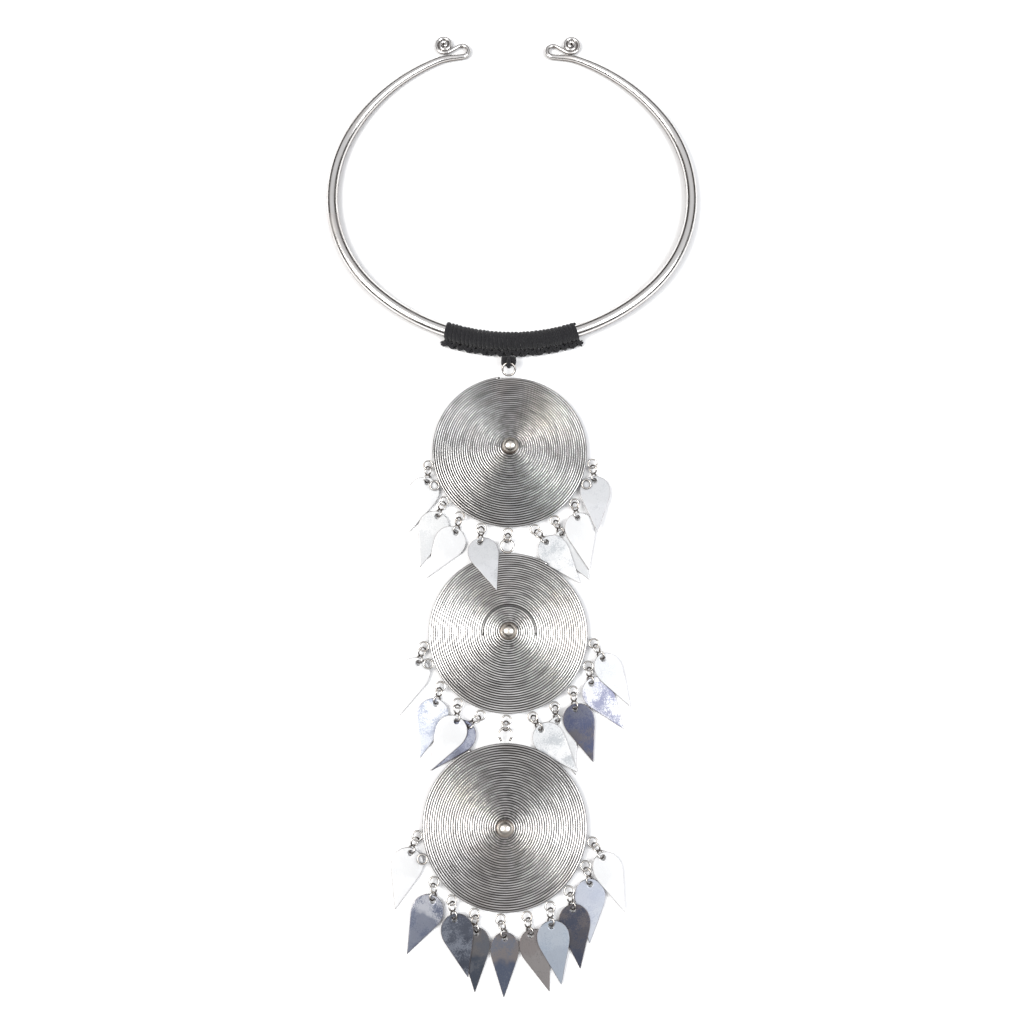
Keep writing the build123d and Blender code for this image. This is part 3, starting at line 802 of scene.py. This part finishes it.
def sheet_leaf(disc, number, leaf):
    """A leaf of cut sheet, worked out from its hole to its edge, softened along its cut edges."""
    bm = bmesh.new()
    spoke = bm.verts.layers.float.new("spoke")
    near_edge = bm.verts.layers.float.new("near_edge")
    bmesh.ops.create_circle(bm, segments=72, radius=leaf_hole / 2)
    for vert in bm.verts:
        vert[spoke] = (math.atan2(vert.co.x, vert.co.y) / math.tau) % 1.0
    edges = bm.edges[:]
    reached = 0.0
    for share in leaf_rows:
        made = bmesh.ops.extrude_edge_only(bm, edges=edges)["geom"]
        edges = made_rim(made)
        onward = (share - reached) / (1 - reached)
        for vert in made_verts(made):
            edge = leaf_edge(vert[spoke])
            vert.co.xy = vert.co.xy.lerp(Vector((edge.x * leaf.width, edge.y)), onward)
        reached = share
    own = number * 5.3 + disc.y  # each leaf's own stretch of the noise
    for vert in bm.verts:
        wave = noise.noise(Vector((vert.co.x * ripple_across, vert.co.y * ripple_along, own)))
        vert.co.z = leaf_sheet / 2 - leaf_crown * (vert.co.x / leaf_width * 2) ** 2 + leaf_ripple * wave
    bmesh.ops.recalc_face_normals(bm, faces=bm.faces)
    if bm.faces[:][0].normal.z < 0:
        bmesh.ops.reverse_faces(bm, faces=bm.faces)
    bmesh.ops.solidify(bm, geom=bm.faces[:], thickness=leaf_sheet)
    cut = [edge for edge in bm.edges if len(edge.link_faces) == 2 and edge.calc_face_angle() > 1.0]
    bmesh.ops.bevel(
        bm, geom=cut, offset=leaf_bevel, offset_type="OFFSET", segments=2, profile=0.5, affect="EDGES",
        material=-1,
    )
    for vert in bm.verts:
        # nearness to the cut edge, for the painted shade along it
        inward = from_edge(abs(vert.co.x) / leaf.width, leaf_hole_drop - vert.co.y)
        vert[near_edge] = max(0.0, 1 - inward / leaf_shaded_rim)
    bmesh.ops.transform(bm, matrix=leaf_place(disc, leaf), verts=bm.verts)
    finish = FINISHES_AND_REFLECTIONS[leaf.finish]
    metal = leaf_material(disc, number, leaf, finish)
    piece = finish_piece(bm, f"sheet_{disc.name}_{number}", metal)
    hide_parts(f"leaf_{disc.name}_{number}")


# Finishes


def new_material(name, metallic, roughness):
    material = bpy.data.materials.new(name)
    material.use_nodes = True
    shader = material.node_tree.nodes["Principled BSDF"]
    shader.inputs["Metallic"].default_value = metallic
    shader.inputs["Roughness"].default_value = roughness
    return material, material.node_tree, shader


def add(tree, kind, inputs=None, **settings):
    """A node with its settings, and its inputs given as values or as the sockets that feed them."""
    node = tree.nodes.new(kind)
    for key, value in settings.items():
        setattr(node, key, value)
    for key, value in (inputs or {}).items():
        if isinstance(value, bpy.types.NodeSocket):
            tree.links.new(value, node.inputs[key])
        else:
            node.inputs[key].default_value = value
    return node


def blend(tree, share, first, second):
    """Colour that goes from first to second."""
    node = add(tree, "ShaderNodeMix", {0: share, 6: first, 7: second}, data_type="RGBA")
    return node.outputs[2]


def ramp(tree, value, low, high):
    """A smooth step from 0 at low to 1 at high."""
    node = add(tree, "ShaderNodeMapRange", {0: value, 1: low, 2: high}, interpolation_type="SMOOTHSTEP")
    return node.outputs[0]


def maths(tree, operation, *values):
    return add(tree, "ShaderNodeMath", dict(enumerate(values)), operation=operation).outputs[0]


def object_place(tree):
    return add(tree, "ShaderNodeTexCoord").outputs["Object"]


def attribute(tree, name):
    return add(tree, "ShaderNodeAttribute", attribute_name=name).outputs["Fac"]


def roughen(tree, shader, height, strength, depth):
    """Fine unevenness that is too small to be a shape, given by a height."""
    bump = add(tree, "ShaderNodeBump", {"Height": height, "Strength": strength, "Distance": depth})
    tree.links.new(bump.outputs[0], shader.inputs["Normal"])


def colour(rgb):
    return (*rgb, 1.0)


def new_group(name, inputs, outputs):
    group = bpy.data.node_groups.new(name, "ShaderNodeTree")
    for label, kind, value in inputs:
        socket = group.interface.new_socket(label, in_out="INPUT", socket_type=kind)
        if value is not None:
            socket.default_value = value
    for label, kind in outputs:
        group.interface.new_socket(label, in_out="OUTPUT", socket_type=kind)
    return group, group.nodes.new("NodeGroupInput"), group.nodes.new("NodeGroupOutput")


def metal_wear_group():
    """Handling marks on silver: soft tarnish in patches, and a fine uneven grain."""
    number = "NodeSocketFloat"
    group, given, out = new_group(
        "metal_wear",
        [("Patch", number, 90.0), ("Grain", number, 1400.0)],
        [("Tarnish", number), ("Marks", number)],
    )
    where = object_place(group)
    patches = {"Vector": where, "Scale": given.outputs["Patch"], "Detail": 5.0}
    patch = add(group, "ShaderNodeTexNoise", patches)
    grains = {"Vector": where, "Scale": given.outputs["Grain"], "Detail": 3.0}
    grain = add(group, "ShaderNodeTexNoise", grains)
    group.links.new(ramp(group, patch.outputs[0], 0.46, 0.72), out.inputs["Tarnish"])
    group.links.new(grain.outputs[0], out.inputs["Marks"])
    return group


def sheet_group():
    """Polished sheet: blotches, fine brushing down the leaf, and scattered pits."""
    number = "NodeSocketFloat"
    group, given, out = new_group(
        "sheet_surface",
        [("Place", "NodeSocketVector", None), ("Cover", number, 0.3)],
        [("Blotch", number), ("Brushing", number), ("Pits", number), ("Drift", number)],
    )
    place = given.outputs["Place"]
    slow = add(group, "ShaderNodeTexNoise", {"Vector": place, "Scale": 0.16, "Detail": 2.0})
    specks = {"Vector": place, "Scale": 2.4, "Detail": 4.0, "Roughness": 0.8}
    speck = add(group, "ShaderNodeTexNoise", specks)
    gathered = maths(group, "MULTIPLY_ADD", slow.outputs[0], 0.9, speck.outputs[0])
    drift = add(group, "ShaderNodeTexNoise", {"Vector": place, "Scale": 0.35, "Detail": 2.0})
    drawn_out = {"Vector": place, "Rotation": (0, 0, 0.6), "Scale": (3.2, 0.28, 1.0)}
    streak_place = add(group, "ShaderNodeMapping", drawn_out).outputs[0]
    streaks = {"Vector": streak_place, "Scale": 1.6, "Detail": 5.0, "Roughness": 0.7}
    streak = add(group, "ShaderNodeTexNoise", streaks)
    pits = add(group, "ShaderNodeTexVoronoi", {"Vector": place, "Scale": 0.75, "Randomness": 1.0})
    level = maths(group, "SUBTRACT", 1.13, given.outputs["Cover"])
    upper = maths(group, "ADD", level, 0.20)
    group.links.new(ramp(group, gathered, level, upper), out.inputs["Blotch"])
    group.links.new(streak.outputs[0], out.inputs["Brushing"])
    group.links.new(ramp(group, pits.outputs["Distance"], 0.22, 0.10), out.inputs["Pits"])
    group.links.new(drift.outputs[0], out.inputs["Drift"])
    return group


def use_group(tree, group, **inputs):
    node = add(tree, "ShaderNodeGroup", node_tree=group)
    for key, value in inputs.items():
        if isinstance(value, bpy.types.NodeSocket):
            tree.links.new(value, node.inputs[key])
        else:
            node.inputs[key].default_value = value
    return node.outputs


metal_wear = metal_wear_group()
sheet_surface = sheet_group()
brown_tarnish = colour((0.36, 0.27, 0.21))
# black of painted shade with some oxide, put between a coil's turns
groove_shade_and_oxide = colour((0.055, 0.045, 0.042))
# painted shade along the leaves' cut edges
edge_shade_tone = colour((0.17, 0.135, 0.12))
scratch_depth = 0.0002  # in metres, as materials are
groove_roughness = 0.54
sheet_roughness = 0.30
tone_drift = 5.0  # how far along a leaf its change of tone wanders, in millimetres
tone_blur = 1.2


def silver_material(name, roughness, patch, tarnish_share, base, stain, side, side_shade_span):
    """Silver with handling marks and a little tarnish. Its sides are painted dark, painted shade and painted
    dark reflection where a face turns away from above, and the last argument gives how far up a face looks
    where that painted side tone ends and where it is fully bright."""
    material, tree, shader = new_material(name, 1.0, roughness)
    wear = use_group(tree, metal_wear, Patch=patch, Grain=1500.0)
    share = maths(tree, "MULTIPLY", wear["Tarnish"], tarnish_share)
    normal = add(tree, "ShaderNodeNewGeometry").outputs["Normal"]
    # painted shade: faces that turn sideways take the dark side tone
    upward = ramp(tree, add(tree, "ShaderNodeSeparateXYZ", {0: normal}).outputs["Z"], *side_shade_span)
    tone = blend(tree, share, colour(base), colour(stain))
    tree.links.new(blend(tree, upward, colour(side), tone), shader.inputs["Base Color"])
    rough = maths(tree, "MULTIPLY_ADD", wear["Tarnish"], 0.16, roughness)
    tree.links.new(rough, shader.inputs["Roughness"])
    roughen(tree, shader, wear["Marks"], 0.06, scratch_depth)
    return material


def coil_material(disc):
    """Wound silver wire, bright on its crests and black between its turns and down the wire's sides: painted
    shade over what oxide lies there.
    """
    material, tree, shader = new_material(f"coil_silver_{disc.name}", 1.0, groove_roughness)
    wear = use_group(tree, metal_wear, Patch=45.0, Grain=1800.0)
    lit_crest = ramp(tree, attribute(tree, "crest"), 0.48, 0.95)
    share = maths(tree, "MULTIPLY", wear["Tarnish"], 0.3)
    # each disc's crest tone is painted light, set to how bright that disc looks under the lamps
    crest_tone = blend(tree, share, colour(disc.tone), brown_tarnish)
    # tone of dulled crests, and of a sunk turn's painted shade
    dull_and_shaded_tone = colour([channel * 0.30 for channel in disc.tone])
    crest_tone = blend(tree, attribute(tree, "dulled"), crest_tone, dull_and_shaded_tone)
    # painted shade: below a wire's crest the tone goes to black
    tree.links.new(blend(tree, lit_crest, groove_shade_and_oxide, crest_tone), shader.inputs["Base Color"])
    rough = maths(tree, "MULTIPLY_ADD", lit_crest, -0.28, groove_roughness)
    tree.links.new(rough, shader.inputs["Roughness"])
    roughen(tree, shader, wear["Marks"], 0.1, scratch_depth)
    return material


def cord_material():
    """Black cotton cord: matte, fibrous, a little dusty on its high places."""
    material, tree, shader = new_material("black_cord", 0.0, 0.88)
    where = object_place(tree)
    fibres = {"Vector": where, "Scale": 3200.0, "Detail": 4.0, "Roughness": 0.7}
    fibre = add(tree, "ShaderNodeTexNoise", fibres)
    twists = {"Vector": where, "Scale": 900.0, "Distortion": 6.0, "Detail": 2.0}
    twist = add(tree, "ShaderNodeTexWave", twists)
    fuzz = ramp(tree, fibre.outputs[0], 0.35, 0.75)
    tone = blend(tree, fuzz, colour((0.008, 0.008, 0.010)), colour((0.030, 0.029, 0.032)))
    tree.links.new(tone, shader.inputs["Base Color"])
    height = maths(tree, "MULTIPLY_ADD", twist.outputs["Fac"], 0.4, fibre.outputs[0])
    roughen(tree, shader, height, 0.6, 0.0003)
    shader.inputs["Specular IOR Level"].default_value = 0.25
    shader.inputs["Sheen Weight"].default_value = 0.15
    return material


def leaf_material(disc, number, leaf, finish):
    """One leaf's sheet, its pattern set out from its own hole and heading."""
    name = f"leaf_{disc.name}_{number}_{leaf.finish}"
    material, tree, shader = new_material(name, finish.metallic, sheet_roughness)
    place = leaf_place(disc, leaf)
    lie = {
        "Vector": object_place(tree), "Location": place.translation * MM, "Rotation": place.to_euler(),
        "Scale": (MM, MM, MM),
    }
    own = add(tree, "ShaderNodeMapping", lie, vector_type="TEXTURE").outputs[0]
    onward = {"Vector": own, "Location": (number * 17.0, -disc.y, 0)}
    moved = add(tree, "ShaderNodeMapping", onward).outputs[0]
    surface = use_group(tree, sheet_surface, Place=moved, Cover=finish.cover)
    down = add(tree, "ShaderNodeSeparateXYZ", {0: own}).outputs["Y"]
    wavy = maths(tree, "MULTIPLY_ADD", surface["Drift"], tone_drift, down)
    middle = leaf_hole_drop - finish.change + tone_drift / 2
    lower = ramp(tree, wavy, middle + tone_blur, middle - tone_blur)
    # painted reflection: the top and point tones stand for what each tilted sheet mirrors
    tone = blend(tree, lower, colour(finish.top), colour(finish.point))
    tone = blend(tree, surface["Blotch"], tone, colour(finish.blotch))
    streaks = ramp(tree, surface["Brushing"], 0.35, 0.7)
    brushed = maths(tree, "MULTIPLY", streaks, 0.22 * finish.brushing)
    brushed_tone = colour([min(1.0, channel * 1.35 + 0.05) for channel in finish.point])
    tone = blend(tree, brushed, tone, brushed_tone)
    # painted shade: a dark band along the cut edge
    edge = ramp(tree, attribute(tree, "near_edge"), 0.35, 0.9)
    tone = blend(tree, maths(tree, "MULTIPLY", edge, 0.6), tone, edge_shade_tone)
    tree.links.new(tone, shader.inputs["Base Color"])
    rough = maths(tree, "MULTIPLY_ADD", surface["Blotch"], 0.12, sheet_roughness)
    tree.links.new(rough, shader.inputs["Roughness"])
    height = maths(tree, "MULTIPLY_ADD", surface["Pits"], -0.5, surface["Brushing"])
    roughen(tree, shader, height, 0.12, scratch_depth)
    return material


# Studio


def floor():
    bm = bmesh.new()
    bmesh.ops.create_grid(bm, x_segments=2, y_segments=2, size=8)
    mesh = bpy.data.meshes.new("table")
    bm.to_mesh(mesh)
    bm.free()
    table = new_object("table", mesh)
    table.location.z = -0.00004  # clear of what lies on it
    material, tree, shader = new_material("table_white", 0.0, 0.7)
    paper = add(tree, "ShaderNodeTexNoise", {"Vector": object_place(tree), "Scale": 4.0, "Detail": 2.0})
    tone = blend(tree, paper.outputs[0], colour((0.955, 0.958, 0.965)), colour((0.97, 0.97, 0.975)))
    tree.links.new(tone, shader.inputs["Base Color"])
    shader.inputs["Specular IOR Level"].default_value = 0.1
    mesh.materials.append(material)


def soft_box(name, place, aim, size, watts, tone):
    light = bpy.data.lights.new(name, "AREA")
    light.shape = "SQUARE"
    light.size = size
    light.energy = watts
    light.color = tone
    lamp = new_object(name, light)
    lamp.location = place
    lamp.rotation_euler = (Vector(aim) - Vector(place)).to_track_quat("-Z", "Y").to_euler()


def studio_air():
    """White overhead, dark towards the horizon, pale where the camera looks past the table."""
    world = bpy.data.worlds.new("studio")
    bpy.context.scene.world = world
    world.use_nodes = True
    tree = world.node_tree
    background = tree.nodes["Background"]
    direction = add(tree, "ShaderNodeTexCoord").outputs["Generated"]
    up = add(tree, "ShaderNodeSeparateXYZ", {0: direction}).outputs["Z"]
    overhead = ramp(tree, up, 0.45, 0.80)
    tone = blend(tree, overhead, colour((0.055, 0.045, 0.040)), colour((1.0, 1.0, 1.02)))
    seen = add(tree, "ShaderNodeLightPath").outputs["Is Camera Ray"]
    tone = blend(tree, seen, tone, colour((1.2, 1.2, 1.22)))
    tree.links.new(tone, background.inputs["Color"])
    background.inputs["Strength"].default_value = 0.72


def camera():
    data = bpy.data.cameras.new("photo_camera")
    data.lens = 38.67
    data.sensor_width = 36
    view = new_object("photo_camera", data)
    view.location = (0.00005, -0.1959, 0.3890)
    view.rotation_euler = (math.radians(10.8), 0, 0)
    bpy.context.scene.camera = view


camera()
floor()
studio_air()
soft_box("key_light", (-0.46, -0.16, 0.62), (0, -0.12, 0), 0.42, 5.25, (1.0, 0.985, 0.96))
soft_box("fill_light", (0.48, -0.20, 0.60), (0, -0.12, 0), 0.42, 3.95, (0.96, 0.98, 1.0))
bpy.context.scene.view_settings.view_transform = "Standard"

# Each silver's side tone is painted shade and painted dark reflection on the faces that turn away from
# above.
ring_silver = silver_material(
    "ring_silver", roughness=0.2, patch=70.0, tarnish_share=0.3, base=(0.80, 0.785, 0.77),
    stain=(0.50, 0.44, 0.39), side=(0.13, 0.105, 0.09), side_shade_span=(-0.05, 0.45),
)
fitting_silver = silver_material(
    "fitting_silver", roughness=0.26, patch=500.0, tarnish_share=0.6, base=(0.78, 0.75, 0.71),
    stain=(0.24, 0.18, 0.14), side=(0.055, 0.038, 0.030), side_shade_span=(0.50, 1.0),
)
bead_gilt = silver_material(
    "bead_gilt", roughness=0.27, patch=260.0, tarnish_share=0.4, base=(0.80, 0.76, 0.70),
    stain=(0.42, 0.34, 0.27), side=(0.16, 0.12, 0.09), side_shade_span=(0.15, 0.95),
)
black_cord = cord_material()

neck_ring(ring_silver)
cord_windings(black_cord)
cord_ridge(black_cord)
cord_tufts(black_cord)
cord_knot(black_cord)
for disc in DISCS:
    coil(disc, coil_material(disc))
    bead(disc, bead_gilt)
    rim_fittings(disc, fitting_silver)
    link_set(disc, fitting_silver)
    for number, leaf in enumerate(LEAVES[disc.name], 1):
        sheet_leaf(disc, number, leaf)
for disc, below in zip(DISCS, DISCS[1:]):
    jump_ring(disc, below, fitting_silver)

bpy.context.view_layer.update()
